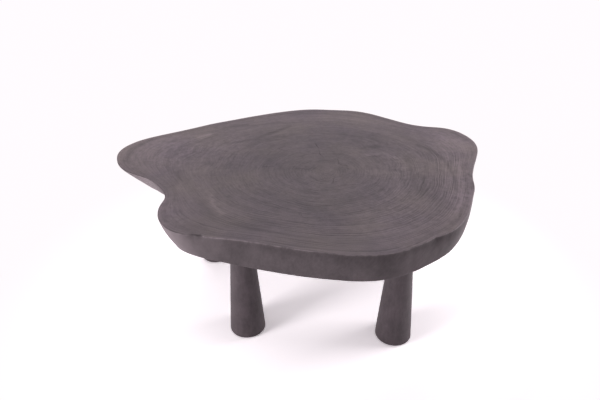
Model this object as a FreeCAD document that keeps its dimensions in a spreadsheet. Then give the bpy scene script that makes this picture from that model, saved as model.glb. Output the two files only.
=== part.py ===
import FreeCAD, Part
import os
import Sketcher

# Low coffee table: one slice sawn across a tree trunk, its live edge kept, stained charcoal black, on
# four turned legs that widen towards the floor. Each leg screws off: a hanger bolt stands in its top
# and runs into a threaded insert nut in the underside of the slab. A nylon glide, countersunk for its
# screw, is let into each foot.
#
# Millimetres. The origin is on the floor under the middle of the slab's outline, +Z up, +X along the
# slab's length, and the front of the table faces -Y.

# Driving dimensions. Diameters and lengths are those of the finished pieces.
SIZES = {
    "table_height": 400.0,
    "slab_length": 1044.0,
    "slab_depth": 823.0,
    "slab_thickness": 75.0,
    "rim_bevel": 2.4,
    "underside_bevel": 8.0,
    "leg_top_diameter": 52.5,
    "leg_foot_diameter": 97.5,
    "foot_edge_bevel": 2.6,
    "leg_top_bevel": 1.5,
    "bolt_diameter": 10.0,
    "bolt_wood_length": 60.0,
    "bolt_machine_length": 30.0,
    "bolt_end_bevel": 1.2,
    "bolt_key_width": 5.0,
    "bolt_key_depth": 5.0,
    "bolt_end_room": 4.0,
    "insert_length": 25.0,
    "insert_diameter": 16.0,
    "insert_flange_diameter": 23.0,
    "insert_flange_thickness": 2.0,
    "insert_key_width": 12.0,
    "insert_key_depth": 7.0,
    "glide_diameter": 56.0,
    "glide_thickness": 6.0,
    "glide_stand": 3.0,
    "glide_edge_bevel": 0.8,
    "screw_diameter": 4.5,
    "screw_head_diameter": 9.0,
    "screw_head_height": 2.6,
    "screw_head_sink": 1.0,
    "screw_length": 25.0,
    "fit_clearance": 0.1,
    "let_in_clearance": 0.25,
}

# How far the swelling of the side wall lies from the rim, as a share of the way to the underside:
# first in height, then in plan. The wall drops steeply from the rim and turns in lower down.
SWELL_HEIGHT_SHARE = 0.55
SWELL_PLAN_SHARE = 0.42

# The live edge at the tabletop, clockwise seen from above from the tip of the long left lobe, as
# control points in shares of the slab's length and depth. Beside each stands the same point on the
# underside, which lies further in where the trunk flared towards its roots.
LIVE_EDGE_SHARES = [
    # tip and back flank of the left lobe
    ((-0.506, 0.103), (-0.410, 0.105)),
    ((-0.497, 0.162), (-0.420, 0.138)),
    ((-0.464, 0.217), (-0.408, 0.185)),
    ((-0.421, 0.252), (-0.380, 0.218)),
    ((-0.370, 0.284), (-0.343, 0.252)),
    ((-0.320, 0.320), (-0.306, 0.296)),
    ((-0.265, 0.365), (-0.252, 0.342)),
    # back edge
    ((-0.195, 0.402), (-0.186, 0.380)),
    ((-0.120, 0.448), (-0.112, 0.427)),
    ((-0.045, 0.482), (-0.040, 0.463)),
    ((0.035, 0.506), (0.034, 0.487)),
    ((0.110, 0.490), (0.106, 0.473)),
    ((0.180, 0.482), (0.172, 0.462)),
    ((0.235, 0.446), (0.223, 0.430)),
    ((0.291, 0.381), (0.277, 0.362)),
    ((0.342, 0.328), (0.328, 0.308)),
    # right rear lobe
    ((0.395, 0.305), (0.383, 0.285)),
    ((0.446, 0.301), (0.427, 0.277)),
    ((0.485, 0.244), (0.459, 0.231)),
    ((0.506, 0.165), (0.477, 0.160)),
    ((0.493, 0.085), (0.467, 0.087)),
    ((0.463, 0.003), (0.443, 0.010)),
    # right edge, from its shallow notch forwards
    ((0.440, -0.075), (0.422, -0.072)),
    ((0.431, -0.152), (0.420, -0.153)),
    ((0.405, -0.240), (0.400, -0.238)),
    ((0.378, -0.325), (0.371, -0.311)),
    ((0.337, -0.398), (0.326, -0.385)),
    ((0.275, -0.433), (0.272, -0.434)),
    # front edge
    ((0.215, -0.487), (0.213, -0.481)),
    ((0.145, -0.504), (0.144, -0.499)),
    ((0.065, -0.493), (0.066, -0.488)),
    ((-0.020, -0.466), (-0.019, -0.468)),
    ((-0.105, -0.427), (-0.103, -0.436)),
    ((-0.190, -0.408), (-0.184, -0.400)),
    ((-0.262, -0.395), (-0.240, -0.368)),
    ((-0.310, -0.347), (-0.288, -0.324)),
    ((-0.333, -0.244), (-0.292, -0.243)),
    # deep notch and front flank of the left lobe
    ((-0.307, -0.198), (-0.272, -0.181)),
    ((-0.347, -0.127), (-0.308, -0.100)),
    ((-0.384, -0.068), (-0.350, -0.019)),
    ((-0.439, -0.048), (-0.384, 0.022)),
    ((-0.484, 0.016), (-0.385, 0.085)),
]

# Where the legs stand, as shares of the slab's length and depth.
LEG_PLACE_SHARES = {
    "front_left": (-0.1408, -0.246),
    "front_right": (0.2418, -0.289),
    "rear_left": (-0.2643, 0.160),
    "rear_right": (0.283, 0.256),
}

document = FreeCAD.newDocument("CoffeeTable")
sheet = document.addObject("Spreadsheet::Sheet", "Sizes")
for row, (alias, value) in enumerate(SIZES.items(), start=1):
    sheet.set("A%d" % row, alias)
    sheet.set("B%d" % row, str(value))
    sheet.setAlias("B%d" % row, alias)
document.recompute()

# Levels above the floor that several pieces share.
UNDERSIDE = "(Sizes.table_height - Sizes.slab_thickness)"
GLIDE_SEAT = "Sizes.glide_thickness"
SCREW_FACE = "Sizes.screw_head_sink"


def new_body(name):
    body = document.addObject("PartDesign::Body", name)
    body.Label = name
    return body


def origin_plane(body, role):
    for feature in body.Origin.OriginFeatures:
        if feature.Role == role:
            return feature
    raise ValueError(role)


def new_sketch(body, name, role, level="0"):
    """A sketch on one of the body's own origin planes, raised along the plane's normal to a level."""
    sketch = body.newObject("Sketcher::SketchObject", name)
    sketch.AttachmentSupport = [(origin_plane(body, role), "")]
    sketch.MapMode = "FlatFace"
    if level != "0":
        sketch.setExpression("AttachmentOffset.Base.z", level)
    return sketch


def size_of(expression):
    return sheet.evalExpression(expression)


def bind(sketch, constraint, expression):
    """Adds a constraint whose value follows an expression in the named sizes."""
    index = sketch.addConstraint(constraint)
    sketch.setExpression("Constraints[%d]" % index, expression)


def place_point(sketch, geometry, point, across, up):
    """Fixes one point of the sketch at a place given by two expressions, measured from its origin."""
    vertical_axis, horizontal_axis = -2, -1
    if across == "0":
        sketch.addConstraint(Sketcher.Constraint("PointOnObject", geometry, point, vertical_axis))
    else:
        bind(sketch, Sketcher.Constraint("DistanceX", -1, 1, geometry, point, size_of(across)), across)
    if up == "0":
        sketch.addConstraint(Sketcher.Constraint("PointOnObject", geometry, point, horizontal_axis))
    else:
        bind(sketch, Sketcher.Constraint("DistanceY", -1, 1, geometry, point, size_of(up)), up)


def closed_profile(body, name, role, corners, level="0"):
    """A closed outline of straight lines through corners given as pairs of expressions."""
    sketch = new_sketch(body, name, role, level)
    places = [FreeCAD.Vector(size_of(across), size_of(up), 0) for across, up in corners]
    lines = [Part.LineSegment(a, b) for a, b in zip(places, places[1:] + places[:1])]
    sketch.addGeometry(lines, False)
    count = len(corners)
    for line in range(count):
        sketch.addConstraint(Sketcher.Constraint("Coincident", line, 2, (line + 1) % count, 1))
    for line, (across, up) in enumerate(corners):
        place_point(sketch, line, 1, across, up)
    return sketch


def turned(body, name, corners):
    """Revolves a half section, given as radius and height pairs, about the piece's upright axis."""
    profile = closed_profile(body, name + "Section", "XZ_Plane", corners)
    revolution = body.newObject("PartDesign::Revolution", name)
    revolution.Profile = profile
    revolution.ReferenceAxis = (profile, ["V_Axis"])
    revolution.Angle = 360
    document.recompute()
    return revolution


def cut(body, name, sketch, depth, upwards):
    """Pockets a sketch to a depth, and makes sure that the pocket did take wood or metal away."""
    before = body.Shape.Volume
    pocket = body.newObject("PartDesign::Pocket", name)
    pocket.Profile = sketch
    pocket.Reversed = upwards
    pocket.setExpression("Length", depth)
    document.recompute()
    if not body.Shape.Volume < before:
        raise RuntimeError("%s in %s cuts nothing" % (name, body.Label))
    return pocket


def round_holes(body, name, level, radius, depth, upwards, centres=(("0", "0"),)):
    """Blind round holes of one size, bored from a level, up or down, at the given centres."""
    sketch = new_sketch(body, name + "Circles", "XY_Plane", level)
    for number, (across, up) in enumerate(centres):
        centre = FreeCAD.Vector(size_of(across), size_of(up), 0)
        sketch.addGeometry(Part.Circle(centre, FreeCAD.Vector(0, 0, 1), size_of(radius)), False)
        bind(sketch, Sketcher.Constraint("Radius", number, size_of(radius)), radius)
        place_point(sketch, number, 3, across, up)
    return cut(body, name, sketch, depth, upwards)


def hex_socket(body, name, level, width, depth, upwards):
    """A six-sided key socket, given by its width across flats."""
    corners = []
    for corner in range(6):
        angle = 60 * corner
        reach = "%s / (2 * cos(30))" % width
        corners.append(("%s * cos(%d)" % (reach, angle), "%s * sin(%d)" % (reach, angle)))
    corners[0] = (corners[0][0], "0")
    corners[3] = (corners[3][0], "0")
    sketch = closed_profile(body, name + "Outline", "XY_Plane", corners, level)
    return cut(body, name, sketch, depth, upwards)


def edges_at(shape, level, radius=None):
    """Names of the closed edges that lie at one height, and if a radius is given, have that radius."""
    names = []
    near = size_of("Sizes.fit_clearance") / 10
    for number, edge in enumerate(shape.Edges, start=1):
        box = edge.BoundBox
        if not edge.isClosed() or abs(box.ZMin - level) > near or abs(box.ZMax - level) > near:
            continue
        if radius is None or abs(box.XLength / 2 - radius) < near:
            names.append("Edge%d" % number)
    return names


def bevel(body, name, level, size, radius=None):
    """Bevels the closed edges at one height by an equal amount on both faces."""
    base = body.Tip
    wanted = None if radius is None else size_of(radius)
    chamfer = body.newObject("PartDesign::Chamfer", name)
    chamfer.Base = (base, edges_at(base.Shape, size_of(level), wanted))
    chamfer.setExpression("Size", size)
    document.recompute()
    return chamfer


def live_edge(body, name, level, towards_underside):
    """The slab's closed outline at one level: a smooth curve whose control points are bound to the
    slab's length and depth. The share runs from 0 at the tabletop to 1 at the underside."""
    sketch = new_sketch(body, name, "XY_Plane", level)
    bound = []
    for rim, under in LIVE_EDGE_SHARES:
        across = rim[0] + (under[0] - rim[0]) * towards_underside
        along = rim[1] + (under[1] - rim[1]) * towards_underside
        bound.append(("Sizes.slab_length * (%.6f)" % across, "Sizes.slab_depth * (%.6f)" % along))
    poles = [FreeCAD.Vector(size_of(across), size_of(along), 0) for across, along in bound]
    curve = Part.BSplineCurve()
    curve.buildFromPoles(poles, True, 3)
    spline = sketch.addGeometry(curve, False)
    sketch.exposeInternalGeometry(spline)
    circles = [i for i, shape in enumerate(sketch.Geometry) if shape.TypeId == "Part::GeomCircle"]
    constraints = []
    for circle, pole in zip(circles, poles):
        constraints.append(Sketcher.Constraint("DistanceX", -1, 1, circle, 3, pole.x))
        constraints.append(Sketcher.Constraint("DistanceY", -1, 1, circle, 3, pole.y))
    expressions = [expression for pair in bound for expression in pair]
    for index, expression in zip(sketch.addConstraint(constraints), expressions):
        sketch.setExpression("Constraints[%d]" % index, expression)
    return sketch


def leg_centre(place):
    across, along = LEG_PLACE_SHARES[place]
    return "Sizes.slab_length * (%.4f)" % across, "Sizes.slab_depth * (%.4f)" % along


def stand_at(body, place):
    """Moves a piece that was made on the origin's axis to its leg."""
    across, along = leg_centre(place)
    body.setExpression("Placement.Base.x", across)
    body.setExpression("Placement.Base.y", along)


def make_slab_top():
    """The trunk slice: a smooth loft through the live edge at three levels, so that the wall rolls in
    under the rim, with a rubbed rim, an eased lower edge, and four stepped bores for the insert nuts
    in its underside."""
    body = new_body("slab_top")
    swell_level = "Sizes.table_height - Sizes.slab_thickness * %.3f" % SWELL_HEIGHT_SHARE
    rim = live_edge(body, "RimOutline", "Sizes.table_height", 0.0)
    swell = live_edge(body, "SwellOutline", swell_level, SWELL_PLAN_SHARE)
    underside = live_edge(body, "UndersideOutline", UNDERSIDE, 1.0)
    document.recompute()
    loft = body.newObject("PartDesign::AdditiveLoft", "TrunkSlice")
    loft.Profile = rim
    loft.Sections = [swell, underside]
    loft.Ruled = False
    document.recompute()
    bevel(body, "RubbedRim", "Sizes.table_height", "Sizes.rim_bevel")
    bevel(body, "LowerEdge", UNDERSIDE, "Sizes.underside_bevel")
    centres = [leg_centre(place) for place in LEG_PLACE_SHARES]
    bores = [
        ("FlangeRecess", "Sizes.insert_flange_diameter / 2 + Sizes.let_in_clearance",
         "Sizes.insert_flange_thickness"),
        ("InsertBore", "Sizes.insert_diameter / 2 + Sizes.fit_clearance", "Sizes.insert_length"),
        ("BoltRoom", "Sizes.bolt_diameter / 2 + Sizes.let_in_clearance",
         "Sizes.bolt_machine_length + Sizes.bolt_end_room"),
    ]
    for name, radius, depth in bores:
        round_holes(body, name, UNDERSIDE, radius, depth, True, centres)
    return body


def make_leg(place):
    """A turned leg, a straight taper that widens towards the floor, with a bolt bore in its top and, in
    its foot, a recess for the glide and a pilot bore for the glide's screw."""
    body = new_body("leg_" + place)
    foot = "Sizes.glide_stand"
    turned(body, "Taper", [
        ("0", foot),
        ("Sizes.leg_foot_diameter / 2", foot),
        ("Sizes.leg_top_diameter / 2", UNDERSIDE),
        ("0", UNDERSIDE),
    ])
    bevel(body, "FootEdge", foot, "Sizes.foot_edge_bevel")
    bevel(body, "TopEdge", UNDERSIDE, "Sizes.leg_top_bevel")
    round_holes(body, "BoltBore", UNDERSIDE, "Sizes.bolt_diameter / 2 + Sizes.fit_clearance",
                "Sizes.bolt_wood_length + Sizes.let_in_clearance", False)
    round_holes(body, "GlideRecess", foot, "Sizes.glide_diameter / 2 + Sizes.let_in_clearance",
                GLIDE_SEAT + " - Sizes.glide_stand", True)
    round_holes(body, "ScrewPilot", GLIDE_SEAT, "Sizes.screw_diameter / 2 + Sizes.fit_clearance",
                SCREW_FACE + " + Sizes.screw_length + Sizes.let_in_clearance - " + GLIDE_SEAT, True)
    stand_at(body, place)
    return body


def make_insert_nut(place):
    """A steel insert nut let flush into the slab's underside, flange down, with a hexagon in its mouth
    for the key that drives it in."""
    body = new_body("insert_nut_" + place)
    flange = UNDERSIDE + " + Sizes.insert_flange_thickness"
    end = UNDERSIDE + " + Sizes.insert_length"
    bore = "Sizes.bolt_diameter / 2 + Sizes.fit_clearance"
    turned(body, "Barrel", [
        (bore, UNDERSIDE),
        ("Sizes.insert_flange_diameter / 2", UNDERSIDE),
        ("Sizes.insert_flange_diameter / 2", flange),
        ("Sizes.insert_diameter / 2", flange),
        ("Sizes.insert_diameter / 2", end),
        (bore, end),
    ])
    hex_socket(body, "DriveSocket", UNDERSIDE, "Sizes.insert_key_width", "Sizes.insert_key_depth", True)
    stand_at(body, place)
    return body


def make_hanger_bolt(place):
    """A hanger bolt: its wood-screw half stays in the leg, and its machine-screw half stands out of
    the top and turns into the insert nut. A socket in its end takes the key that drives it home."""
    body = new_body("hanger_bolt_" + place)
    point = UNDERSIDE + " - Sizes.bolt_wood_length"
    end = UNDERSIDE + " + Sizes.bolt_machine_length"
    turned(body, "Shank", [
        ("0", point),
        ("Sizes.bolt_diameter / 2", point),
        ("Sizes.bolt_diameter / 2", end + " - Sizes.bolt_end_bevel"),
        ("Sizes.bolt_diameter / 2 - Sizes.bolt_end_bevel", end),
        ("0", end),
    ])
    hex_socket(body, "KeySocket", end, "Sizes.bolt_key_width", "Sizes.bolt_key_depth", False)
    stand_at(body, place)
    return body


def make_glide(place):
    """A nylon disc let into the foot and standing a little proud of it, countersunk for its screw."""
    body = new_body("glide_" + place)
    shank = "Sizes.screw_diameter / 2 + Sizes.fit_clearance"
    head = "Sizes.screw_head_diameter / 2 + Sizes.fit_clearance"
    turned(body, "Disc", [
        (head, "0"),
        ("Sizes.glide_diameter / 2", "0"),
        ("Sizes.glide_diameter / 2", GLIDE_SEAT),
        (shank, GLIDE_SEAT),
        (shank, SCREW_FACE + " + Sizes.screw_head_height"),
        (head, SCREW_FACE),
    ])
    bevel(body, "LowerEdge", "0", "Sizes.glide_edge_bevel", "Sizes.glide_diameter / 2")
    stand_at(body, place)
    return body


pieces = [make_slab_top()]
for place in LEG_PLACE_SHARES:
    pieces.append(make_leg(place))
    pieces.append(make_insert_nut(place))
    pieces.append(make_hanger_bolt(place))
    pieces.append(make_glide(place))
document.recompute()

for item in document.Objects:
    if "Invalid" in item.State or "Error" in item.State:
        raise RuntimeError("%s failed: %s" % (item.Label, item.State))
for piece in pieces:
    if piece.Shape.isNull() or not piece.Shape.isValid() or len(piece.Shape.Solids) != 1:
        raise RuntimeError("%s has no single valid solid" % piece.Label)

os.makedirs("parts", exist_ok=True)
for piece in pieces:
    piece.Shape.exportStep(os.path.join("parts", piece.Label + ".step"))
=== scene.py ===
import math
import random

import bmesh
import bpy
import numpy
from mathutils import Matrix, Vector, noise
from mathutils.bvhtree import BVHTree
from mathutils.kdtree import KDTree


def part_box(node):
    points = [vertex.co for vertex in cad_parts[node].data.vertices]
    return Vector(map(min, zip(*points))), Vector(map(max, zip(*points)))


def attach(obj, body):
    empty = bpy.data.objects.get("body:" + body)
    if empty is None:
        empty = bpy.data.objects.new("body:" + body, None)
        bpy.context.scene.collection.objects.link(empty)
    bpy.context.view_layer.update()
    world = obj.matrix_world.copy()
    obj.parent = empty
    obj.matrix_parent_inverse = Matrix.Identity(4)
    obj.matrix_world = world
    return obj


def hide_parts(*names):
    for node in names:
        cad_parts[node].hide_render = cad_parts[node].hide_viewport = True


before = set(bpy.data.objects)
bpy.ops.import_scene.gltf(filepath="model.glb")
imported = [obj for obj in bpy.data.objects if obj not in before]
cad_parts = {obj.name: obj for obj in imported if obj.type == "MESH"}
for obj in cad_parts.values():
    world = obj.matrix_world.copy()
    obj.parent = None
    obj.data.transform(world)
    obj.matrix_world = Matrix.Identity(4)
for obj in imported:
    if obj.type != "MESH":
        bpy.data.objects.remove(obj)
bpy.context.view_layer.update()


# The photograph's view
# The camera stands in front of the table, a little over a metre up, and looks down at it. It is
# turned a touch about its own axis, as the picture is.
camera_data = bpy.data.cameras.new("photo_camera")
camera_data.sensor_width = 36.0
camera_data.lens = 32.07
camera = bpy.data.objects.new("photo_camera", camera_data)
bpy.context.scene.collection.objects.link(camera)
camera_place = Matrix.Translation((0.0023, -1.3004, 1.0811))
camera_tilt = Matrix.Rotation(math.radians(58.67), 4, "X")
camera_roll = Matrix.Rotation(math.radians(-0.666), 4, "Z")
camera.matrix_world = camera_place @ camera_tilt @ camera_roll
bpy.context.scene.camera = camera


# Studio floor
# A white floor that runs on to the horizon and is the whole background. It is matt and throws light
# back up at the slab and the legs. In the picture it is overexposed: near the table it is seen
# brighter than it shines, with only its shadows less than white, and further out it is even.
def put(tree, kind, inputs=None, **settings):
    """Adds a shader node. Its inputs are values or other nodes' sockets, by name or number."""
    made = tree.nodes.new(kind)
    for name, value in settings.items():
        setattr(made, name, value)
    for key, value in (inputs or {}).items():
        if isinstance(value, bpy.types.NodeSocket):
            tree.links.new(value, made.inputs[key])
        else:
            made.inputs[key].default_value = value
    return made


def new_finish(name):
    """A material with an empty node tree."""
    finish = bpy.data.materials.new(name)
    finish.use_nodes = True
    finish.node_tree.nodes.clear()
    return finish, finish.node_tree


def maths(tree, operation, first, second=0.0):
    """A sum, product or the like of two values, or of one where only one is needed."""
    return put(tree, "ShaderNodeMath", {0: first, 1: second}, operation=operation).outputs[0]


def seen_directly(tree):
    """1 for rays from the camera and for mirror and see-through rays, 0 for bounced light."""
    path = put(tree, "ShaderNodeLightPath").outputs
    sharp = maths(tree, "MAXIMUM", path["Is Glossy Ray"], path["Is Transmission Ray"])
    return maths(tree, "MAXIMUM", path["Is Camera Ray"], sharp)


def spread(tree, value, low, high, new_low, new_high, **settings):
    """Carries a value from one range to another and stops at the ends."""
    ends = {0: value, 1: low, 2: high, 3: new_low, 4: new_high}
    return put(tree, "ShaderNodeMapRange", ends, **settings).outputs[0]


def tint(tree, share, first, second):
    """Mixes two colours. Inputs 6 and 7 and output 2 are the mix node's sockets for colours."""
    mixed = put(tree, "ShaderNodeMix", {0: share, 6: first, 7: second}, data_type="RGBA")
    return mixed.outputs[2]


def blended(tree, share, first, second):
    """Mixes two shaders: the first where the share is 0, the second where it is 1."""
    return put(tree, "ShaderNodeMixShader", {0: share, 1: first.outputs[0], 2: second.outputs[0]})


floor_half = 30.0
floor_corners = [(-floor_half, -floor_half, 0.0), (floor_half, -floor_half, 0.0),
                 (floor_half, floor_half, 0.0), (-floor_half, floor_half, 0.0)]
floor_mesh = bpy.data.meshes.new("studio_floor")
floor_mesh.from_pydata(floor_corners, [], [(0, 1, 2, 3)])
floor = bpy.data.objects.new("studio_floor", floor_mesh)
bpy.context.scene.collection.objects.link(floor)

# Metres from the table's middle: where the overexposure begins and ends fading, and where the even
# part begins and ends taking over. A little of it is there from the middle on.
fade_start, fade_end = 0.38, 0.70
even_start, even_end = 0.45, 0.95
least_even = 0.08
floor_finish, tree = new_finish("white_studio_floor")
matt = put(tree, "ShaderNodeBsdfDiffuse", {"Color": (0.80, 0.775, 0.79, 1.0)})
floor_coordinates = put(tree, "ShaderNodeTexCoord").outputs["Object"]
distance = put(tree, "ShaderNodeVectorMath", {0: floor_coordinates}, operation="LENGTH")
from_middle = distance.outputs["Value"]
overexposed = tint(tree, spread(tree, from_middle, fade_start, fade_end, 0.0, 1.0),
                   (1.757, 1.675, 1.735, 1.0), (1.05, 1.0, 1.035, 1.0))
by_camera = put(tree, "ShaderNodeLightPath").outputs["Is Camera Ray"]
near_colour = tint(tree, by_camera, (1.03, 1.0, 1.02, 1.0), overexposed)
near = put(tree, "ShaderNodeBsdfDiffuse", {"Color": near_colour})
even = put(tree, "ShaderNodeEmission", {"Color": (1.0, 0.940, 0.966, 1.0), "Strength": 1.03})
even_share = spread(tree, from_middle, even_start, even_end, least_even, 1.0,
                    interpolation_type="SMOOTHSTEP")
as_seen = blended(tree, even_share, near, even)
shown = blended(tree, seen_directly(tree), matt, as_seen)
beneath = put(tree, "ShaderNodeNewGeometry").outputs["Backfacing"]
see_through = put(tree, "ShaderNodeBsdfTransparent")
one_way = blended(tree, beneath, shown, see_through)
put(tree, "ShaderNodeOutputMaterial", {"Surface": one_way.outputs[0]})
floor_mesh.materials.append(floor_finish)

world = bpy.data.worlds.new("white_studio")
bpy.context.scene.world = world
world.use_nodes = True
tree = world.node_tree
tree.nodes.clear()
fill = put(tree, "ShaderNodeBackground", {"Color": (1.0, 0.97, 0.985, 1.0), "Strength": 0.38})
white = put(tree, "ShaderNodeBackground", {"Color": (1.0, 0.975, 0.99, 1.0), "Strength": 1.0})
around_all = blended(tree, seen_directly(tree), fill, white)
put(tree, "ShaderNodeOutputWorld", {"Surface": around_all.outputs[0]})


# Studio lamps
# Three soft boxes: a broad one high over the back of the table, a broad one on the right, and a
# small one low at the front left, which throws the legs' shadows to the back right. The side
# towards the camera gets least light, as in the picture.
def soft_box(name, location, aim, width, height, watts):
    data = bpy.data.lights.new(name, "AREA")
    data.shape = "RECTANGLE"
    data.size = width
    data.size_y = height
    data.energy = watts
    data.color = (1.0, 0.985, 0.99)
    lamp = bpy.data.objects.new(name, data)
    lamp.location = location
    lamp.rotation_euler = (Vector(aim) - Vector(location)).to_track_quat("-Z", "Y").to_euler()
    bpy.context.scene.collection.objects.link(lamp)


table_middle = (0.0, 0.0, 0.3)
soft_box("overhead_box", (0.0, 1.1, 2.4), table_middle, width=2.4, height=1.8, watts=44.0)
soft_box("left_box", (-1.95, -1.30, 0.75), table_middle, width=0.8, height=0.6, watts=38.0)
soft_box("right_box", (2.4, 0.2, 0.8), table_middle, width=1.4, height=1.2, watts=44.0)


# Slab
# One slice sawn across a tree trunk. The bark is off, the live edge is sanded smooth, and the
# whole slice is stained charcoal black. A highlight along the rim, and some light and shade, are
# painted into the stain. Its outline is taken from the imported solid.
def surface_of(node):
    """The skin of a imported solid, for rays to meet."""
    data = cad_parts[node].data
    corners = [v.co for v in data.vertices]
    return BVHTree.FromPolygons(corners, [p.vertices for p in data.polygons])


slab_low, slab_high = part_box("slab_top")
slab_surface = surface_of("slab_top")
# Where the trunk's pith is, how many rays run in to it, how far out they start, and how often the
# outline that they find is evened out.
pith = Vector((0.080, -0.042))
around = 640
outside_reach = 0.9
outline_passes = 8
rim_round = 0.0026
lower_round = 0.009
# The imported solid's two bevels, and how far clear of them its outline is taken.
rim_bevel = 0.0024
lower_bevel = 0.008
bevel_room = 0.0005


def smoothed(points, passes):
    """Evens out a closed run of points. A pass moves each halfway to its neighbours' middle."""
    for _ in range(passes):
        points = [(points[i - 1] + points[i] * 2 + points[(i + 1) % len(points)]) / 4
                  for i in range(len(points))]
    return points


def outline_at(height):
    """The slab's closed outline at one height: what each ray towards the pith meets first."""
    lowest = slab_low.z + lower_bevel + bevel_room
    highest = slab_high.z - rim_bevel - bevel_room
    height = min(max(height, lowest), highest)
    points = []
    for step in range(around):
        angle = 2 * math.pi * step / around
        out = Vector((math.cos(angle), math.sin(angle), 0.0))
        start = Vector((pith.x, pith.y, height)) + out * outside_reach
        met = slab_surface.ray_cast(start, -out)[0]
        points.append(Vector((met.x, met.y)))
    return smoothed(points, outline_passes)


def outward(points):
    """Unit normals of a closed outline that runs anticlockwise."""
    normals = []
    for i in range(len(points)):
        along = points[(i + 1) % len(points)] - points[i - 1]
        normals.append(Vector((along.y, -along.x)).normalized())
    return normals


# Dents and hollows that were in the trunk's edge, and two humps, whose depth is below nought:
# where, how long, how deep, how far below the rim its deepest place is, and how far it reaches
# from there, all in metres.
edge_dents = [
    ((-0.237, -0.325), 0.010, 0.0065, 0.0, 0.009),
    ((-0.220, -0.331), 0.007, 0.0055, 0.0, 0.008),
    ((0.304, -0.352), 0.010, 0.0030, 0.0, 0.012),
    ((0.448, -0.075), 0.030, 0.0015, 0.0, 0.030),
    ((0.245, -0.376), 0.012, 0.0016, 0.035, 0.040),
    ((0.300, -0.350), 0.070, 0.0036, 0.005, 0.013),
    ((0.370, -0.280), 0.060, 0.0036, 0.005, 0.013),
    ((0.410, -0.190), 0.040, 0.0030, 0.005, 0.013),
    ((0.120, -0.412), 0.110, 0.0030, 0.004, 0.014),
    ((0.000, -0.402), 0.070, 0.0018, 0.004, 0.014),
    ((-0.070, -0.362), 0.050, 0.0010, 0.014, 0.012),
    ((-0.398, -0.008), 0.040, -0.0062, 0.064, 0.032),
    ((-0.338, -0.170), 0.040, -0.0028, 0.010, 0.030),
]


def dent_depth(spot, height):
    """How far all the dents together sink the wall at one place."""
    depth = 0.0
    for where, length, deepest, below, reach in edge_dents:
        gap = (spot - Vector(where)).length / length
        down = (slab_high.z - height - below) / reach
        depth += deepest * math.exp(-gap * gap - down * down)
    return depth


# The live edge's gentle humps and hollows, drawn out along the trunk: how many there are to a
# metre round the edge and up it, and how high they are in metres.
edge_swells = [(14, 5, 0.0009), (48, 14, 0.0003)]


def edge_swell(spot, height):
    swell = 0.0
    for around_edge, upwards, most in edge_swells:
        where = Vector((spot.x * around_edge, spot.y * around_edge, height * upwards))
        swell += most * noise.noise(where)
    return swell


def ring_of_wall(inset, height):
    """The wall's corners at one height, with its dents and humps, drawn in by an inset."""
    outline = outline_at(height)
    ring = []
    for spot, normal in zip(outline, outward(outline)):
        shift = edge_swell(spot, height) - dent_depth(spot, height) - inset
        ring.append(Vector((*(spot + normal * shift), height)))
    return ring


def eased_below(size, steps):
    """Insets and rises round a lower edge, from its face up to its wall."""
    turns = [math.pi / 2 * step / steps for step in range(steps + 1)]
    return [(size * (1 - math.sin(turn)), size * (1 - math.cos(turn))) for turn in turns]


def eased_above(size, steps):
    """Insets and rises round an upper edge, from its wall up to its face."""
    turns = [math.pi / 2 * step / steps for step in range(steps + 1)]
    return [(size * (1 - math.cos(turn)), size * math.sin(turn)) for turn in turns]


edge_steps = 6
wall_steps = 12
wall_bottom = slab_low.z + lower_round
wall_top = slab_high.z - rim_round
wall_rows = []
for inset, rise in eased_below(lower_round, edge_steps)[:-1]:
    wall_rows.append(ring_of_wall(inset, slab_low.z + rise))
for step in range(wall_steps):
    height = wall_bottom + (wall_top - wall_bottom) * step / wall_steps
    wall_rows.append(ring_of_wall(0.0, height))
for inset, rise in eased_above(rim_round, edge_steps):
    wall_rows.append(ring_of_wall(inset, wall_top + rise))

# How many radians of outline a growth ring evens out at the pith, the power by which that grows
# from the edge inwards, and the least part of an even ring spacing where rings crowd together.
rounding_inwards = 0.9
rounding_growth = 0.8
least_ring_gap = 0.35


def face_rows(edge_ring, count):
    """Rings inside a face's edge. Each is an older growth ring: nearer the pith and rounder."""
    arms = [Vector((p.x - pith.x, p.y - pith.y)) for p in edge_ring]
    ways = [arm.normalized() for arm in arms]
    waves = numpy.fft.rfft([arm.length for arm in arms])
    last_reach = numpy.array([arm.length for arm in arms])
    rows = []
    for row in range(1, count):
        share = 1 - row / count
        evening = rounding_inwards * (1 - share) ** rounding_growth
        fading = numpy.exp(-(numpy.arange(len(waves)) * evening) ** 2 / 2)
        reach = share * numpy.fft.irfft(waves * fading, around)
        reach = numpy.minimum(reach, last_reach * (1 - least_ring_gap / (count - row + 1)))
        last_reach = reach
        rows.append([Vector((pith.x + way.x * far, pith.y + way.y * far, edge_ring[0].z))
                     for way, far in zip(ways, reach)])
    return rows


top_count = 72
under_count = 24
top_rows = face_rows(wall_rows[-1], top_count)
under_rows = face_rows(wall_rows[0], under_count)[::-1]

slab_mesh = bmesh.new()
live_edge_slot, top_slot, under_slot = 0, 1, 2


def skin(rows, slot):
    """Quads between neighbouring rings of corners."""
    for lower, upper in zip(rows, rows[1:]):
        for i in range(around):
            j = (i + 1) % around
            slab_mesh.faces.new((lower[i], lower[j], upper[j], upper[i])).material_index = slot


def cap(row, height, slot, upwards):
    """Closes a face's last ring with a fan round the pith."""
    middle = slab_mesh.verts.new((pith.x, pith.y, height))
    for i in range(around):
        corners = (row[i], row[(i + 1) % around], middle)
        slab_mesh.faces.new(corners if upwards else corners[::-1]).material_index = slot


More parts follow.
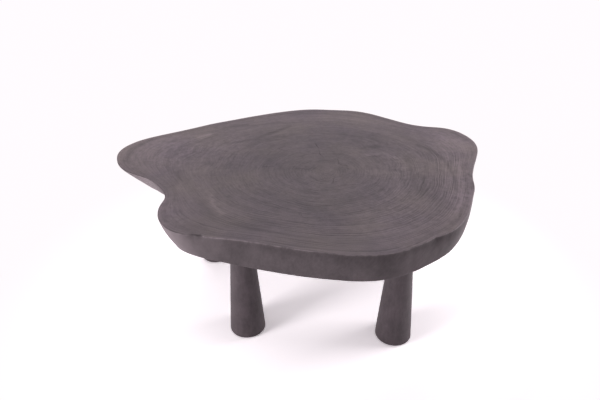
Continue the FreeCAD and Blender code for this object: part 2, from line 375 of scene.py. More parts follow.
all_rows = under_rows + wall_rows + top_rows
rows_made = [[slab_mesh.verts.new(p) for p in row] for row in all_rows]
first_wall = len(under_rows)
last_wall = first_wall + len(wall_rows) - 1
skin(rows_made[:first_wall + 1], under_slot)
skin(rows_made[first_wall:last_wall + 1], live_edge_slot)
skin(rows_made[last_wall:], top_slot)
cap(rows_made[0], slab_low.z, under_slot, False)
cap(rows_made[-1], slab_high.z, top_slot, True)
slab_data = bpy.data.meshes.new("trunk_slice")
slab_mesh.to_mesh(slab_data)
slab_mesh.free()
slab = bpy.data.objects.new("trunk_slice", slab_data)
bpy.context.scene.collection.objects.link(slab)


# Grain of the slab
# Growth rings run round the pith, round near it and like the outline near the edge. Broad dark and
# pale arcs and a few knots break them up, and some of the marks are painted light and shade on the
# top. A pale highlight is painted along the rim's crest.
def principled(tree, inputs):
    """Ends a material with its one surface shader."""
    shader = put(tree, "ShaderNodeBsdfPrincipled", inputs)
    put(tree, "ShaderNodeOutputMaterial", {"Surface": shader.outputs[0]})


def noise_of(tree, vector, scale, detail=2.0, roughness=0.5):
    made = put(tree, "ShaderNodeTexNoise", {"Vector": vector, "Scale": scale, "Detail": detail,
                                            "Roughness": roughness})
    return made.outputs[0]


def vector_maths(tree, operation, first, second=(0, 0, 0)):
    return put(tree, "ShaderNodeVectorMath", {0: first, 1: second}, operation=operation).outputs[0]


def stretched(tree, x, y, z):
    """The object's own coordinates in metres, times a factor for each axis."""
    coordinates = put(tree, "ShaderNodeTexCoord").outputs["Object"]
    return vector_maths(tree, "MULTIPLY", coordinates, (x, y, z))


def bumped(tree, height, metres):
    """A bump of a real height in metres, from a value that runs from 0 to 1."""
    inputs = {"Height": height, "Distance": metres, "Strength": 1.0}
    return put(tree, "ShaderNodeBump", inputs).outputs[0]


def attribute(tree, name):
    return put(tree, "ShaderNodeAttribute", attribute_name=name).outputs["Fac"]


def product(tree, first, second):
    return maths(tree, "MULTIPLY", first, second)


def sum_of(tree, *weighted):
    """Adds up values, each times its weight."""
    total = 0.0
    for value, weight in weighted:
        total = maths(tree, "ADD", product(tree, value, weight), total)
    return total


def along_rings(tree, along, across):
    """A vector that changes slowly along a growth ring and fast from ring to ring."""
    coordinates = put(tree, "ShaderNodeTexCoord").outputs["Object"]
    arm = vector_maths(tree, "ADD", coordinates, (-pith.x, -pith.y, 0))
    way = vector_maths(tree, "NORMALIZE", vector_maths(tree, "MULTIPLY", arm, (1, 1, 0)))
    parts = put(tree, "ShaderNodeSeparateXYZ", {0: way})
    return put(tree, "ShaderNodeCombineXYZ", {
        0: product(tree, parts.outputs[0], along),
        1: product(tree, parts.outputs[1], along),
        2: product(tree, attribute(tree, "ring"), across),
    }).outputs[0]


# The live edge: patches and blotches of stain, streaks and fibres that run up the trunk, and fine
# slanting hatching where the grain shows clearly. Painted into its colour are a pale highlight along
# the rim, patches of light and shade, shade in its dents and light on its humps.
hatch_lean = (-0.52, 0.62, 0.0)
hatch_size = (0.005, 0.005, 0.035)
edge_finish, tree = new_finish("stained_live_edge")
patches = noise_of(tree, stretched(tree, 1, 1, 0.8), 13.0, 4.0, 0.6)
blotches = noise_of(tree, stretched(tree, 1, 1, 0.7), 60.0, 3.0, 0.6)
upright = noise_of(tree, stretched(tree, 70, 70, 9), 1.0, 3.0, 0.6)
fibres = noise_of(tree, stretched(tree, 210, 210, 45), 1.0, 3.0, 0.65)
leaning = put(tree, "ShaderNodeMapping",
              {0: stretched(tree, 1, 1, 1), 2: hatch_lean, 3: hatch_size}, vector_type="TEXTURE")
hatch = noise_of(tree, leaning.outputs[0], 1.0, 3.0, 0.6)
# The rim's pale line is a painted highlight, patchy with the blotches.
rim_highlight_share = product(tree, attribute(tree, "painted_rim_highlight"), spread(tree, blotches, 0.38, 0.58, 0.45, 1.0))
streaks = product(tree, sum_of(tree, (upright, 0.20), (fibres, 0.10), (hatch, 0.50)),
                  attribute(tree, "clear"))
edge_share = sum_of(tree, (patches, 0.9), (blotches, 0.35), (streaks, 1.0),
                    (attribute(tree, "tone_and_painted_light"), 0.55), (rim_highlight_share, 1.2))
edge_share = spread(tree, edge_share, 0.56, 3.93, 0.0, 1.0)
relief = sum_of(tree, (upright, 0.3), (fibres, 0.2), (patches, 0.5), (blotches, 0.3))
principled(tree, {
    "Base Color": tint(tree, edge_share, (0.0575, 0.0474, 0.0517, 1), (0.421, 0.347, 0.378, 1)),
    "Roughness": spread(tree, patches, 0.3, 0.7, 0.54, 0.66),
    "Specular IOR Level": 0.10,
    "Normal": bumped(tree, relief, 0.0008),
})

# The top: growth rings of soft early and hard late wood, streaks and dashes along them, and clouds
# and mottling of the stain. A dark ring runs close inside the rim, and a pale line at the very edge
# is a painted highlight.
ring_number = 54.0
top_finish, tree = new_finish("stained_end_grain")
clear = attribute(tree, "clear")
broad = noise_of(tree, along_rings(tree, 1.1, 11.0), 1.0, 2.0)
bands = noise_of(tree, along_rings(tree, 1.8, 42.0), 1.0, 2.0)
long_streaks = noise_of(tree, along_rings(tree, 3.5, 130.0), 1.0, 3.0, 0.6)
short_streaks = noise_of(tree, along_rings(tree, 9.0, 110.0), 1.0, 3.0, 0.6)
fine = put(tree, "ShaderNodeMix", {0: clear, 2: short_streaks, 3: long_streaks}).outputs[0]
dashes = noise_of(tree, along_rings(tree, 9.0, 150.0), 1.0, 2.0, 0.6)
clouds = noise_of(tree, stretched(tree, 1, 1, 1), 7.0, 4.0, 0.6)
mottle = noise_of(tree, stretched(tree, 1, 1, 1), 66.0, 5.0, 0.72)
specks = noise_of(tree, stretched(tree, 1, 1, 1), 420.0, 2.0)
pace = noise_of(tree, along_rings(tree, 0.3, 9.0), 1.0, 1.0)
ring_wander = noise_of(tree, along_rings(tree, 2.5, 30.0), 1.0, 1.0)
ring_count = sum_of(tree, (attribute(tree, "ring"), ring_number), (pace, 5.0),
                    (ring_wander, 0.9), (clouds, 0.8))
ring_part = maths(tree, "FRACT", ring_count)
late_wood = product(tree, spread(tree, ring_part, 0.35, 0.88, 0.0, 1.0),
                    spread(tree, ring_part, 0.90, 1.0, 1.0, 0.0))
early_wood = spread(tree, ring_part, 0.0, 0.35, 1.0, 0.0)
gaps_in_rings = noise_of(tree, along_rings(tree, 2.6, 45.0), 1.0, 2.0)
ring_strength = product(tree, spread(tree, gaps_in_rings, 0.40, 0.60, 0.0, 1.0), clear)
ring_lines = sum_of(tree, (late_wood, 1.0), (early_wood, -0.4))
ring_lines = product(tree, ring_lines, ring_strength)
short_lines = spread(tree, dashes, 0.50, 0.36, 0.0, 1.0)
grain_in_marks = sum_of(tree, (fine, 0.5), (mottle, 0.5))
# Marks of the grain, with light and shade painted on the top where listed.
marks = product(tree, attribute(tree, "tone_and_painted_light"), spread(tree, grain_in_marks, 0.38, 0.62, 0.3, 1.5))
ring = attribute(tree, "ring")
sapwood = spread(tree, ring, 0.55, 0.90, 0.0, 1.0)
uneven = noise_of(tree, along_rings(tree, 3.0, 8.0), 1.0, 2.0)
# A dark ring close inside the rim, and a pale line at the very edge that is a painted highlight.
last_dark = product(tree, spread(tree, ring, 0.945, 0.968, 0.0, 1.0),
                    spread(tree, ring, 0.974, 0.986, 1.0, 0.0))
rim_edge_highlight = spread(tree, ring, 0.986, 0.993, 0.0, 1.0)
dark_ring_and_edge_highlight = product(tree, sum_of(tree, (last_dark, -1.0), (rim_edge_highlight, 1.2)),
                     spread(tree, uneven, 0.38, 0.60, 0.1, 1.0))
light_share = sum_of(tree, (broad, 0.50), (bands, 0.35), (fine, 0.75), (clouds, 0.75),
                     (mottle, 0.80), (specks, 0.45), (ring_lines, -0.42), (short_lines, -0.16),
                     (marks, 0.42), (sapwood, 0.30), (dark_ring_and_edge_highlight, 0.22),
                     (attribute(tree, "painted_rim_highlight"), 0.55))
light_share = spread(tree, light_share, 1.21, 2.71, 0.0, 1.0)
cool = tint(tree, light_share, (0.020, 0.0135, 0.0175, 1), (0.148, 0.112, 0.134, 1))
warm = tint(tree, light_share, (0.021, 0.014, 0.0155, 1), (0.150, 0.116, 0.123, 1))
relief = sum_of(tree, (fine, 0.35), (dashes, 0.35), (mottle, 0.3), (ring_lines, -0.4),
                (specks, 0.1))
principled(tree, {
    "Base Color": tint(tree, spread(tree, clouds, 0.35, 0.65, 0.0, 1.0), cool, warm),
    "Roughness": spread(tree, fine, 0.3, 0.7, 0.50, 0.62),
    "Specular IOR Level": 0.22,
    "Normal": bumped(tree, relief, 0.0007),
})

# The underside: the same rings, crossed by the marks of the saw.
under_finish, tree = new_finish("stained_sawn_underside")
bands = noise_of(tree, along_rings(tree, 1.8, 42.0), 1.0, 2.0)
saw = noise_of(tree, stretched(tree, 5, 330, 1), 1.0, 2.0)
patches = noise_of(tree, stretched(tree, 1, 1, 1), 9.0, 3.0)
under_share = sum_of(tree, (bands, 0.6), (saw, 0.5), (patches, 0.7))
under_share = spread(tree, under_share, 0.55, 1.25, 0.0, 1.0)
principled(tree, {
    "Base Color": tint(tree, under_share, (0.048, 0.040, 0.042, 1), (0.115, 0.096, 0.102, 1)),
    "Roughness": 0.72,
    "Normal": bumped(tree, sum_of(tree, (saw, 0.6), (bands, 0.4)), 0.0006),
})

for finish in (edge_finish, top_finish, under_finish):
    slab_data.materials.append(finish)


# The bores are drilled up into the underside for the insert nuts and the ends of the bolts. Both
# are cut into solid wood.

# Each check: its route from the table's middle, its greatest width and its depth, all in
# millimetres.
checks = [
    ([(-31, -14), (-14, -19), (3, -18), (18, -21), (34, -25)], 1.19, 5.0),
    ([(46, 152), (51, 136), (54, 120), (60, 107), (73, 97)], 1.05, 5.0),
    ([(56, 100), (61, 88), (60, 70), (66, 57), (69, 46)], 0.91, 4.0),
    ([(108, 40), (110, 26), (108, 10), (124, -2), (144, -13)], 1.12, 5.0),
    ([(60, 38), (76, 28), (90, 23), (101, 16)], 0.84, 4.0),
    ([(43, -83), (58, -90), (69, -87), (80, -91)], 1.19, 5.0),
    ([(82, -109), (89, -94), (91, -79), (96, -62)], 0.91, 4.0),
    ([(97, -114), (118, -112), (137, -108), (160, -109)], 0.77, 4.0),
    ([(-104, 2), (-90, -4), (-74, -1), (-64, -5)], 0.84, 4.0),
    ([(-62, 112), (-52, 101), (-41, 98), (-30, 92)], 0.77, 4.0),
    ([(-4, -234), (1, -246), (9, -255)], 0.77, 3.0),
]
# How a check varies: how far it strays from its route in millimetres, by what share its width
# changes, how open its ends still are, and a power below 1 that keeps it wide for longer.
pieces_between_corners = 4
stray = 0.5
width_change = 0.2
least_open = 0.04
fullness = 0.6
# How far a cutter stands out of the face that it cuts, in metres.
cut_overlap = 0.001
mm_per_metre = 1000


def check_cutter(mesh, route, width, depth, chance):
    """A wedge along a split: widest in its middle, running out to almost nothing at both ends."""
    fine_route = []
    for start, end in zip(route, route[1:]):
        for part in range(pieces_between_corners):
            fine_route.append(Vector(start).lerp(Vector(end), part / pieces_between_corners))
    fine_route.append(Vector(route[-1]))
    last = len(fine_route) - 1
    rows = []
    for i, spot in enumerate(fine_route):
        along = (fine_route[min(i + 1, last)] - fine_route[max(i - 1, 0)]).normalized()
        side = Vector((-along.y, along.x))
        spot = spot + side * chance.uniform(-stray, stray)
        openness = max(math.sin(math.pi * i / last), least_open) ** fullness
        half = width / 2 * openness * chance.uniform(1 - width_change, 1 + width_change)
        top = slab_high.z + cut_overlap
        bottom = slab_high.z - depth / mm_per_metre * openness
        corners = ((spot + side * half, top), (spot - side * half, top), (spot, bottom))
        rows.append([mesh.verts.new((corner.x / mm_per_metre, corner.y / mm_per_metre, height))
                     for corner, height in corners])
    for a, b in zip(rows, rows[1:]):
        for i in range(3):
            mesh.faces.new((a[i], a[(i + 1) % 3], b[(i + 1) % 3], b[i]))
    mesh.faces.new(rows[0][::-1])
    mesh.faces.new(rows[-1])


def turned(mesh, centre, profile, steps):
    """Turns a profile of (radius, height) corners about an upright axis into a closed skin."""
    rows = []
    for radius, height in profile:
        if radius == 0:
            rows.append([mesh.verts.new((centre.x, centre.y, height))] * steps)
            continue
        row = []
        for step in range(steps):
            angle = 2 * math.pi * step / steps
            row.append(mesh.verts.new((centre.x + radius * math.cos(angle),
                                       centre.y + radius * math.sin(angle), height)))
        rows.append(row)
    for lower, upper in zip(rows, rows[1:]):
        for i in range(steps):
            j = (i + 1) % steps
            corners = tuple(dict.fromkeys((lower[i], lower[j], upper[j], upper[i])))
            if len(corners) > 2:
                mesh.faces.new(corners)


def finished_piece(name, mesh, finish):
    """Turns a bmesh into an object with outward faces and its material."""
    bmesh.ops.recalc_face_normals(mesh, faces=mesh.faces)
    data = bpy.data.meshes.new(name)
    mesh.to_mesh(data)
    mesh.free()
    data.materials.append(finish)
    made = bpy.data.objects.new(name, data)
    bpy.context.scene.collection.objects.link(made)
    return made


def cut_away(piece, cutter):
    """Takes the cutter out of the piece, lines the cut with its finish and deletes the cutter."""
    cutting = piece.modifiers.new("cut", "BOOLEAN")
    cutting.operation = "DIFFERENCE"
    cutting.solver = "EXACT"
    cutting.material_mode = "TRANSFER"
    cutting.object = cutter
    evaluated = piece.evaluated_get(bpy.context.evaluated_depsgraph_get())
    cut_mesh = bpy.data.meshes.new_from_object(evaluated)
    piece.modifiers.clear()
    uncut = piece.data
    piece.data = cut_mesh
    bpy.data.meshes.remove(uncut)
    bpy.data.objects.remove(cutter)


# Painted shade: the inside of a check is near black, darker than the stain, mottled with dust.
check_finish, tree = new_finish("inside_of_a_check")
dust_in_painted_shade = noise_of(tree, stretched(tree, 1, 1, 1), 300.0)
principled(tree, {
    "Base Color": tint(tree, dust_in_painted_shade, (0.016, 0.013, 0.014, 1), (0.035, 0.029, 0.031, 1)),
    "Roughness": 0.9,
})
bore_finish, tree = new_finish("drilled_wood")
chips = noise_of(tree, stretched(tree, 1, 1, 6), 220.0)
principled(tree, {
    "Base Color": tint(tree, chips, (0.20, 0.12, 0.065, 1), (0.34, 0.22, 0.13, 1)),
    "Roughness": 0.85,
})

check_mesh = bmesh.new()
check_chance = random.Random(7)
for route, width, depth in checks:
    check_cutter(check_mesh, route, width, depth, check_chance)
cut_away(slab, finished_piece("check_cutter", check_mesh, check_finish))


def half_width(node):
    low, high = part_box(node)
    return (high.x - low.x) / 2


places = ("front_left", "front_right", "rear_left", "rear_right")
leg_middles = {}
for place in places:
    leg_low, leg_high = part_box("leg_" + place)
    leg_middles[place] = Vector(((leg_low.x + leg_high.x) / 2, (leg_low.y + leg_high.y) / 2))

# The insert nut's barrel is 16 mm across where its flange is 23 mm.
barrel_share = 16 / 23
flange_thickness = 0.002
bore_clearance = 0.00015
room_over_bolt = 0.004
bore_steps = 40
bore_mesh = bmesh.new()
for place in places:
    nut_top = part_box("insert_nut_" + place)[1].z
    bolt_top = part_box("hanger_bolt_" + place)[1].z
    flange = half_width("insert_nut_" + place) + bore_clearance
    barrel = half_width("insert_nut_" + place) * barrel_share + bore_clearance
    bolt = half_width("hanger_bolt_" + place) + bore_clearance
    mouth = slab_low.z - cut_overlap
    ledge = slab_low.z + flange_thickness
    end = bolt_top + room_over_bolt
    turned(bore_mesh, leg_middles[place], [
        (0, mouth), (flange, mouth), (flange, ledge), (barrel, ledge),
        (barrel, nut_top), (bolt, nut_top), (bolt, end), (0, end),
    ], bore_steps)
cut_away(slab, finished_piece("bore_cutter", bore_mesh, bore_finish))

# Marks on the top. Most are arcs and spots of the grain; some are painted light and shade, as
# noted below. Each arc: its route in millimetres, half its width, and its strength, below nought
# where it is darker and above where it is paler.
grain_marks_and_painted_light = [
    ([(-215, 150), (-170, 158), (-125, 182), (-80, 222), (-30, 266)], 7, -0.9),
    ([(-236, 262), (-205, 282), (-165, 287)], 7, -0.6),
    ([(-213, 271), (-137, 279), (-61, 306)], 5, -0.5),
    ([(-100, 352), (-50, 372), (30, 377), (110, 366), (180, 346), (226, 322)], 6, -0.6),
    ([(-486, 42), (-483, 96), (-467, 145), (-444, 186)], 5, -1.0),
    ([(-385, 75), (-362, 120), (-290, 165), (-252, 208)], 5, -0.5),
    ([(-279, 140), (-268, 90), (-240, 10)], 7, -0.35),
    ([(-330, -30), (-318, -62), (-322, -100)], 10, -0.5),
    ([(-240, -180), (-228, -215), (-205, -245)], 11, -0.4),
    ([(-160, -280), (-100, -305), (-20, -330), (60, -345)], 6, -0.4),
    ([(-119, -252), (-64, -279), (0, -290)], 5, -0.5),
    ([(350, 121), (383, 81), (402, 30), (409, -24), (405, -91), (395, -152)], 5, -0.9),
    ([(300, 205), (345, 150), (380, 80)], 16, -0.3),
    ([(310, 60), (301, 0), (304, -61), (290, -118)], 6, -0.5),
    ([(325, -62), (321, -118), (297, -183)], 5, -0.5),
    ([(160, -180), (60, -210), (-20, -200), (-60, -170)], 9, -0.3),
    ([(150, -303), (199, -299), (245, -285)], 5, -0.4),
    ([(180, -345), (207, -341), (245, -330), (300, -315)], 5, -0.2),
    ([(190, 61), (237, 68), (275, 41)], 7, 0.7),
    ([(196, 48), (227, 51)], 4, -0.6),
    ([(-298, 192), (-288, 202), (-276, 212)], 7, 1.7),
    # Painted shade in two dents in the rim at the front left.
    ([(-242, -321), (-220, -328)], 5, -1.2),
    ([(-400, 190), (-350, 205), (-300, 195)], 14, 0.4),
    ([(-219, -156), (-209, -196), (-180, -240)], 5, 0.9),
    ([(370, 225), (390, 228), (410, 218)], 18, 0.45),
    # Painted highlight: a pale line inside the right-hand rim.
    ([(437, 23), (432, -47), (418, -122), (397, -190), (371, -244)], 5, 0.9),
    # Painted shade at a dent and a notch in the right-hand rim.
    ([(450, -60), (451, -72)], 4, -1.2),
    ([(446, -112), (441, -135)], 4, -1.2),
    # Darker patches in the wood.
    ([(369, 65), (370, 25)], 10, -0.45),
    ([(302, -130), (324, -165), (340, -203)], 13, -0.45),
    # Painted light and shade from here on: the top is paler towards its left and right ends, and
    # darker in its middle and at the front.
    ([(-470, 105), (-350, 70)], 90, 0.65),
    ([(-430, 160), (-366, 141), (-290, 130)], 50, 0.5),
    ([(-200, 170), (-194, 60)], 55, 0.35),
    ([(440, 110), (440, -40), (410, -160)], 55, 0.65),
    ([(280, 20), (230, -260)], 95, 0.5),
    ([(473, 118), (440, 180)], 40, 0.8),
    ([(360, -255), (405, -165)], 32, 0.45),
    ([(-330, -190), (-300, -260)], 32, 0.6),
    ([(-60, 40), (110, 20)], 80, -0.2),
    ([(-210, -275), (-110, -300)], 45, -0.5),
    ([(-40, -360), (60, -372), (140, -368)], 30, -0.6),
]
# Each knot: its middle and its size in millimetres, and its strength.
knots = [
    ((223, 112), 20, 0.9), ((191, 104), 13, 0.7), ((259, -31), 12, 0.8), ((266, 180), 13, 0.6),
    ((369, 150), 15, 0.6), ((-44, 195), 9, 0.6), ((-262, 262), 12, 0.6), ((-300, 90), 24, 0.25),
    ((-250, 20), 20, 0.25),
]
# How far a knot pushes the growth rings outwards, in shares of the slab.
knot_ring_push = 0.030
# Painted light and shade on the live edge, lighter where light falls most, as on the flanks that
# face left, or below nought darker: a middle and how far around it, both in millimetres, and a
# strength.
painted_wall_light_and_shade = [
    ((400, -250), 70, 0.35), ((455, -110), 60, 0.6), ((-295, -285), 62, 2.2),
    ((-400, -35), 75, 2.4), ((-210, -335), 50, 0.22), ((-142, -338), 30, -0.30),
    ((60, -400), 160, -0.25), ((250, -385), 60, 0.4), ((130, -405), 55, 0.25),
]
# Shade is painted into the dents: a dent this deep in metres is as dark as a mark of strength 1,
# and a hump is painted as much lighter.
dent_of_full_painted_shade = 0.009
# Where the growth rings show clearly, in the same way.
clear_places = [
    ((420, -40), 130, 1.0), ((330, -240), 150, 0.7), ((60, -330), 170, 0.9),
    ((-150, -290), 110, 0.35), ((60, 330), 170, 0.5), ((-180, 40), 70, 0.3),
    ((80, -40), 150, 0.35),
]
least_clear = 0.15
# Where the highlight painted along the rim is palest, in the same way.
rim_highlight_places = [
    ((-175, -333), 75, 0.85), ((-40, -385), 70, 0.7), ((120, -385), 60, 0.5),
    ((320, -290), 150, 0.45), ((450, 60), 120, 0.5),
]
least_rim_highlight = 0.35
# How far the painted highlight reaches from the rim's crest, in metres.
rim_highlight_width = 0.0014
# How the growth rings waver: waves to a metre, how far in shares of the slab, and a shift that
# keeps the two apart. It is twice that halfway out, and nothing at the pith and the edge.
ring_waves = [(9, 0.012, 0.0), (30, 0.006, 5.0)]
# Edges sharper than this in degrees stay sharp.
slab_crease = 35


def near_route(spots, route):
    """Distance from many places to a run of straight pieces."""
    nearest = numpy.full(len(spots), numpy.inf)
    for start, end in zip(route, route[1:]):
        start, run = numpy.array(start), numpy.subtract(end, start)
        share = numpy.clip((spots - start) @ run / (run @ run), 0, 1)
        away = spots - start - share[:, None] * run
        nearest = numpy.minimum(nearest, numpy.hypot(away[:, 0], away[:, 1]))
    return nearest


def ring_shares(spots):
    """The growth ring of each place, 0 at the pith and 1 at the edge, from the top's own rows."""
    edge_ring = wall_rows[-1]
    rows = [edge_ring] + top_rows
    reach = numpy.array([[math.hypot(p.x - pith.x, p.y - pith.y) for p in row]
                         for row in rows[::-1]])
    reach = numpy.vstack([numpy.zeros(around), reach])
    ring_numbers = numpy.linspace(0, 1, len(reach))
    ray_angles = numpy.unwrap([math.atan2(p.y - pith.y, p.x - pith.x) for p in edge_ring])
    arms = spots - numpy.array(pith)
    angles = (numpy.arctan2(arms[:, 1], arms[:, 0]) - ray_angles[0]) % (2 * math.pi)
    turns = numpy.append(ray_angles - ray_angles[0], 2 * math.pi)
    rays = numpy.interp(angles, turns, numpy.arange(around + 1))
    far = numpy.hypot(arms[:, 0], arms[:, 1])
    shares = []
    for ray, distance in zip(rays, far):
        first = int(ray) % around
        second = (first + 1) % around
        a = numpy.interp(distance, reach[:, first], ring_numbers)
        b = numpy.interp(distance, reach[:, second], ring_numbers)
        shares.append(a + (b - a) * (ray % 1))
    return numpy.array(shares)


corners = numpy.array([v.co for v in slab.data.vertices])
spots = corners[:, :2] * mm_per_metre
on_top = corners[:, 2] > slab_high.z - rim_round
on_wall = (corners[:, 2] > slab_low.z) & (corners[:, 2] < slab_high.z - rim_round / 2)


def gaps_from(where, size):
    """How far each corner is from a place, in sizes."""
    return numpy.hypot(*(spots - numpy.array(where)).T) / size


def strengths(marked_places):
    """Adds up marks at each corner. Each fades out from its middle."""
    total = numpy.zeros(len(spots))
    for where, size, strength in marked_places:
        total += strength * numpy.exp(-gaps_from(where, size) ** 2)
    return total


def smooth_shaded(piece, crease):
    """Shades a piece smooth, apart from its sharp edges."""
    piece.data.shade_smooth()
    piece.data.set_sharp_from_angle(angle=math.radians(crease))


ring_values = ring_shares(corners[:, :2])
for i, (x, y) in enumerate(corners[:, :2]):
    wave = 0.0
    for number, most, shift in ring_waves:
        wave += most * noise.noise(Vector((x * number, y * number, shift)))
    ring_values[i] += wave * 4 * min(ring_values[i], 1 - ring_values[i])
tone_and_painted_light_values = numpy.zeros(len(corners))
for route, half, strength in grain_marks_and_painted_light:
    tone_and_painted_light_values += strength * numpy.exp(-(near_route(spots, route) / half) ** 2)
for where, size, strength in knots:
    gaps = gaps_from(where, size)
    ring_values += knot_ring_push * numpy.exp(-gaps ** 2 / 2)
    tone_and_painted_light_values -= strength * numpy.exp(-2 * gaps ** 2)
tone_and_painted_light_values *= on_top
# The wall is painted darker in its dents, as their shade, and lighter on its humps.
for i in numpy.flatnonzero(on_wall):
    tone_and_painted_light_values[i] -= dent_depth(Vector(corners[i][:2]), corners[i][2]) / dent_of_full_painted_shade
# Painted light and shade on the live edge, where listed.
tone_and_painted_light_values += strengths(painted_wall_light_and_shade) * on_wall
# A pale highlight is painted along the rim's crest, stronger where listed.
rim_crest = wall_rows[-1 - edge_steps // 2]
crest_tree = KDTree(around)
for i, crest in enumerate(rim_crest):
    crest_tree.insert(crest, i)
crest_tree.balance()
crest_gaps = numpy.array([crest_tree.find(corner)[2] for corner in corners])
rim_highlight_values = numpy.exp(-(crest_gaps / rim_highlight_width) ** 2) * (least_rim_highlight + strengths(rim_highlight_places))
clear_values = least_clear + strengths(clear_places)
for name, values in (("ring", ring_values), ("tone_and_painted_light", tone_and_painted_light_values),
                     ("painted_rim_highlight", rim_highlight_values), ("clear", clear_values)):
    slab.data.attributes.new(name, "FLOAT", "POINT").data.foreach_set("value", values)
smooth_shaded(slab, slab_crease)
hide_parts("slab_top")
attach(slab, "root")


# Legs
# Each leg is turned from one piece of wood, thin under the slab and wide at the foot, with its foot
# edge eased, and is stained black like the slab. A recess in the foot takes the glide.
leg_steps = 96
foot_round = 0.004
top_round = 0.0015
round_steps = 5
taper_steps = 40
glide_room = 0.00025
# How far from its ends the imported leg's radius is taken, clear of its bevels.
probe_inset = 0.02
turned_crease = 40
# How far from true the turning is in metres, how many waves there are to a metre across the leg
# and up it, and a shift that keeps the legs unlike. The recess for the glide is left true.
hand_wobble = 0.00022
wobble_across, wobble_upwards, wobble_shift = 30, 22, 5
recess_margin = 0.0005
seat_margin = 0.001

leg_finish, tree = new_finish("stained_turned_leg")
patches = noise_of(tree, stretched(tree, 1, 1, 0.6), 26.0, 4.0, 0.6)
blotches = noise_of(tree, stretched(tree, 1, 1, 0.5), 110.0, 3.0, 0.6)
grain = noise_of(tree, stretched(tree, 120, 120, 9), 1.0, 3.0, 0.6)
pores = noise_of(tree, stretched(tree, 520, 520, 60), 1.0, 2.0, 0.6)
tool_marks = noise_of(tree, stretched(tree, 6, 6, 520), 1.0, 1.0)
leg_share = sum_of(tree, (patches, 0.75), (blotches, 0.45), (grain, 0.25), (pores, 0.25),
                   (tool_marks, 0.10))
leg_share = spread(tree, leg_share, 0.58, 1.24, 0.0, 1.0)
relief = sum_of(tree, (grain, 0.3), (pores, 0.3), (tool_marks, 0.25), (blotches, 0.3))
principled(tree, {
    "Base Color": tint(tree, leg_share, (0.041, 0.030, 0.035, 1), (0.104, 0.080, 0.091, 1)),
    "Roughness": spread(tree, patches, 0.3, 0.7, 0.44, 0.56),
    "Specular IOR Level": 0.32,
    "Coat Weight": 0.04,
    "Coat Roughness": 0.30,
    "Normal": bumped(tree, relief, 0.0006),
})


def radius_of(node, centre, height):
    """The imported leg's radius at one height, met by a ray from outside."""
    start = Vector((centre.x + outside_reach, centre.y, height))
    return surface_of(node).ray_cast(start, Vector((-1, 0, 0)))[0].x - centre.x


for number, place in enumerate(places):
    centre = leg_middles[place]
    foot, shoulder = (corner.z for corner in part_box("leg_" + place))
    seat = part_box("glide_" + place)[1].z
    recess = half_width("glide_" + place) + glide_room
    low_height, high_height = foot + probe_inset, shoulder - probe_inset
    low_radius = radius_of("leg_" + place, centre, low_height)
    high_radius = radius_of("leg_" + place, centre, high_height)
    slope = (high_radius - low_radius) / (high_height - low_height)
    foot_radius = low_radius + slope * (foot - low_height)
    top_radius = low_radius + slope * (shoulder - low_height)
    profile = [(0, seat), (recess, seat), (recess, foot)]
    for inset, rise in eased_below(foot_round, round_steps):
        height = foot + rise
        profile.append((foot_radius + slope * (height - foot) - inset, height))
    taper_low, taper_high = foot + foot_round, shoulder - top_round
    for step in range(1, taper_steps):
        height = taper_low + (taper_high - taper_low) * step / taper_steps
        profile.append((foot_radius + slope * (height - foot), height))
    for inset, rise in eased_above(top_round, round_steps):
        height = taper_high + rise
        profile.append((top_radius - slope * (shoulder - height) - inset, height))
    profile.append((0, shoulder))
    leg_mesh = bmesh.new()
    turned(leg_mesh, centre, profile, leg_steps)
    for vertex in leg_mesh.verts:
        arm = Vector((vertex.co.x - centre.x, vertex.co.y - centre.y, 0))
        in_recess = arm.length <= recess + recess_margin and vertex.co.z <= seat + seat_margin
        if arm.length and not in_recess:
            upwards = vertex.co.z * wobble_upwards + number * wobble_shift
            where = Vector((arm.x * wobble_across, arm.y * wobble_across, upwards))
            vertex.co += arm.normalized() * noise.noise(where) * hand_wobble
    leg = finished_piece("turned_leg_" + place, leg_mesh, leg_finish)
    smooth_shaded(leg, turned_crease)
    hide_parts("leg_" + place)
    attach(leg, "root")


# Insert nuts and hanger bolts
# Zinc plated steel, satin and a little mottled. They join the legs to the slab and lie hidden in
# the wood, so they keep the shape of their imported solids.
zinc_finish, tree = new_finish("zinc_plated_steel")
spangle = noise_of(tree, stretched(tree, 1, 1, 1), 160.0, 3.0)
brushed = noise_of(tree, stretched(tree, 40, 40, 900), 1.0, 2.0)
principled(tree, {
    "Base Color": tint(tree, spangle, (0.50, 0.50, 0.48, 1), (0.70, 0.70, 0.67, 1)),
    "Metallic": 1.0,
    "Roughness": spread(tree, brushed, 0.3, 0.7, 0.30, 0.46),
    "Normal": bumped(tree, brushed, 0.00004),
})
for place in places:
    for kind in ("insert_nut_", "hanger_bolt_"):
        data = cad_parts[kind + place].data
        data.materials.clear()
        data.materials.append(zinc_finish)


# Glides
# A moulded nylon disc is let into each foot and stands a little proud of it. Its lower edge is
# rounded, it has two shallow moulded grooves, and its middle is countersunk for the screw.
nylon_finish, tree = new_finish("black_moulded_nylon")
mottle = noise_of(tree, stretched(tree, 1, 1, 1), 90.0, 2.0)
pebble = noise_of(tree, stretched(tree, 1, 1, 1), 1400.0, 1.0)
principled(tree, {
    "Base Color": tint(tree, mottle, (0.020, 0.020, 0.021, 1), (0.038, 0.037, 0.038, 1)),
    "Roughness": spread(tree, mottle, 0.3, 0.7, 0.42, 0.55),
    "Normal": bumped(tree, pebble, 0.00006),
})
glide_steps = 72
glide_round = 0.0014
groove_shares = (0.45, 0.72)
groove_half = 0.0009
groove_depth = 0.0005
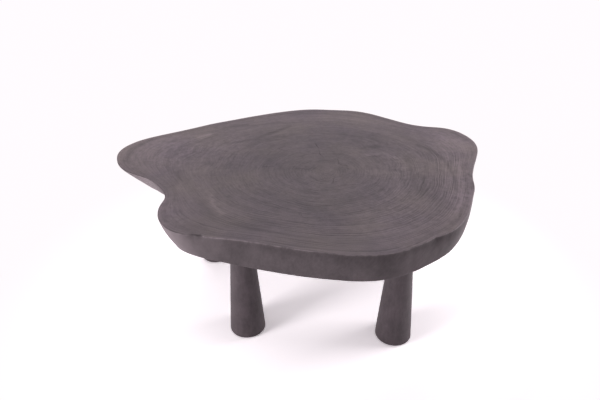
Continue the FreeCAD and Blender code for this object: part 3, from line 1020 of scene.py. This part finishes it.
# The screw that the hole is made for, how far its face is sunk in, and the room round it.
screw_head_radius = 0.0045
screw_shank_radius = 0.00225
screw_head_height = 0.0026
screw_face = 0.001
hole_clearance = 0.0001
same_corner = 0.00001
for place in places:
    low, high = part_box("glide_" + place)
    radius = half_width("glide_" + place)
    head, shank = screw_head_radius + hole_clearance, screw_shank_radius + hole_clearance
    profile = [(shank, high.z), (shank, low.z + screw_face + screw_head_height),
               (head, low.z + screw_face), (head, low.z)]
    for share in groove_shares:
        middle = radius * share
        profile += [(middle - groove_half, low.z), (middle - groove_half / 2, low.z + groove_depth),
                    (middle + groove_half / 2, low.z + groove_depth), (middle + groove_half, low.z)]
    for inset, rise in eased_below(glide_round, round_steps):
        profile.append((radius - inset, low.z + rise))
    profile += [(radius, high.z), (shank, high.z)]
    glide_mesh = bmesh.new()
    turned(glide_mesh, leg_middles[place], profile, glide_steps)
    bmesh.ops.remove_doubles(glide_mesh, verts=glide_mesh.verts, dist=same_corner)
    glide = finished_piece("nylon_glide_" + place, glide_mesh, nylon_finish)
    smooth_shaded(glide, turned_crease)
    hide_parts("glide_" + place)
    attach(glide, "root")


# Glide screws
# A countersunk wood screw with a cross recess holds each glide. It is zinc plated like the bolts,
# and its head is sunk clear of the floor.
screw_steps = 32
screw_length = 0.025
point_length = 0.006
head_edge_inset, head_edge_rise = 0.0002, 0.0001
thread_pitch = 0.0019
thread_height = 0.0005
# The groove between two turns of the thread starts and ends at these shares of the pitch.
groove_start, groove_end = 0.3, 0.7
recess_depth = 0.0014
recess_half_length = 0.0024
recess_half_width = 0.0005
# How many degrees the first screw's cross is turned, and how many more each next one's.
cross_turn, cross_turn_more = 20, 25
recess_finish, tree = new_finish("dull_zinc")
dulling = noise_of(tree, stretched(tree, 1, 1, 1), 500.0)
principled(tree, {
    "Base Color": tint(tree, dulling, (0.16, 0.16, 0.155, 1), (0.28, 0.28, 0.27, 1)),
    "Metallic": 1.0,
    "Roughness": 0.55,
})
for number, place in enumerate(places):
    centre = leg_middles[place]
    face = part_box("glide_" + place)[0].z + screw_face
    neck = face + screw_head_height
    tip = face + screw_length
    profile = [(0, face), (screw_head_radius - head_edge_inset, face),
               (screw_head_radius, face + head_edge_rise), (screw_shank_radius, neck)]
    root = screw_shank_radius - thread_height
    for turn in range(int((tip - point_length - neck) / thread_pitch)):
        start = neck + thread_pitch * turn
        profile += [(root, start + thread_pitch * groove_start),
                    (root, start + thread_pitch * groove_end),
                    (screw_shank_radius, start + thread_pitch)]
    profile.append((0, tip))
    screw_mesh = bmesh.new()
    turned(screw_mesh, centre, profile, screw_steps)
    screw = finished_piece("glide_screw_" + place, screw_mesh, zinc_finish)
    outline = []
    for quarter in range(4):
        angle = math.radians(cross_turn + cross_turn_more * number) + math.pi / 2 * quarter
        way = Vector((math.cos(angle), math.sin(angle)))
        side = Vector((-way.y, way.x))
        outline.append(centre + way * recess_half_length - side * recess_half_width)
        outline.append(centre + way * recess_half_length + side * recess_half_width)
        outline.append(centre + way * recess_half_width + side * recess_half_width)
    cross_mesh = bmesh.new()
    rows = [[cross_mesh.verts.new((p.x, p.y, height)) for p in outline]
            for height in (face - cut_overlap, face + recess_depth)]
    for i in range(len(outline)):
        j = (i + 1) % len(outline)
        cross_mesh.faces.new((rows[0][i], rows[0][j], rows[1][j], rows[1][i]))
    cross_mesh.faces.new(rows[0][::-1])
    cross_mesh.faces.new(rows[1])
    cut_away(screw, finished_piece("cross_cutter", cross_mesh, recess_finish))
    smooth_shaded(screw, turned_crease)
    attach(screw, "root")


# Look of the picture
# Colours are shown as they are, with no film look.
bpy.context.scene.view_settings.view_transform = "Standard"
